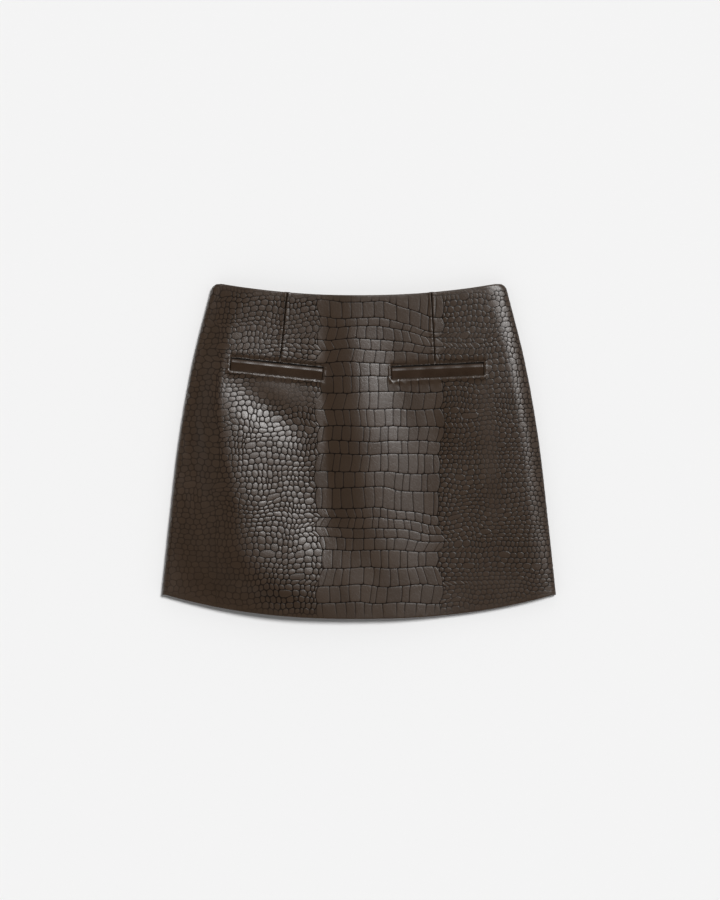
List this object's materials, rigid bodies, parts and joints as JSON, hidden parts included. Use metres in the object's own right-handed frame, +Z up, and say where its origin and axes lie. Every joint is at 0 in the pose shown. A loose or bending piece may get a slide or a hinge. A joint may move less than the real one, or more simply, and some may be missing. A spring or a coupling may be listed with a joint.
{
  "type": "leather mini skirt",
  "caption": "Women's A-line mini skirt in crocodile-embossed leather, laid flat, with front darts, welt pockets and a concealed back zip.",
  "frame": {"origin": "on the table under the middle of the skirt's bounding box", "axes": "+Z up from the table, out of the front; +Y from hem to waist; +X across, to the right as seen from above"},
  "size_m": [0.4738, 0.4031, 0.0234],
  "materials": {
    "leather": "satin, crocodile embossed",
    "welt_leather": "satin, smooth",
    "facing_leather": "matt",
    "zip_tape": "woven",
    "zip_metal": "antique, satin"
  },
  "bodies": {
    "skirt": {"front_panel": "leather", "back_panel_left": "leather", "back_panel_right": "leather", "pocket_welt_left": "welt_leather", "pocket_welt_right": "welt_leather", "pocket_facing_left": "facing_leather", "pocket_facing_right": "facing_leather", "zip_tape": "zip_tape", "zip_slider": "zip_metal"},
    "pull_tab": {"zip_tab": "zip_metal"}
  },
  "joints": [
    {"name": "pull_tab_swing", "type": "hinge", "parent": "skirt", "child": "pull_tab", "pos_m": [0, 0.175, 0.001], "axis": [1, 0, 0], "range_deg": [0, 150]}
  ]
}
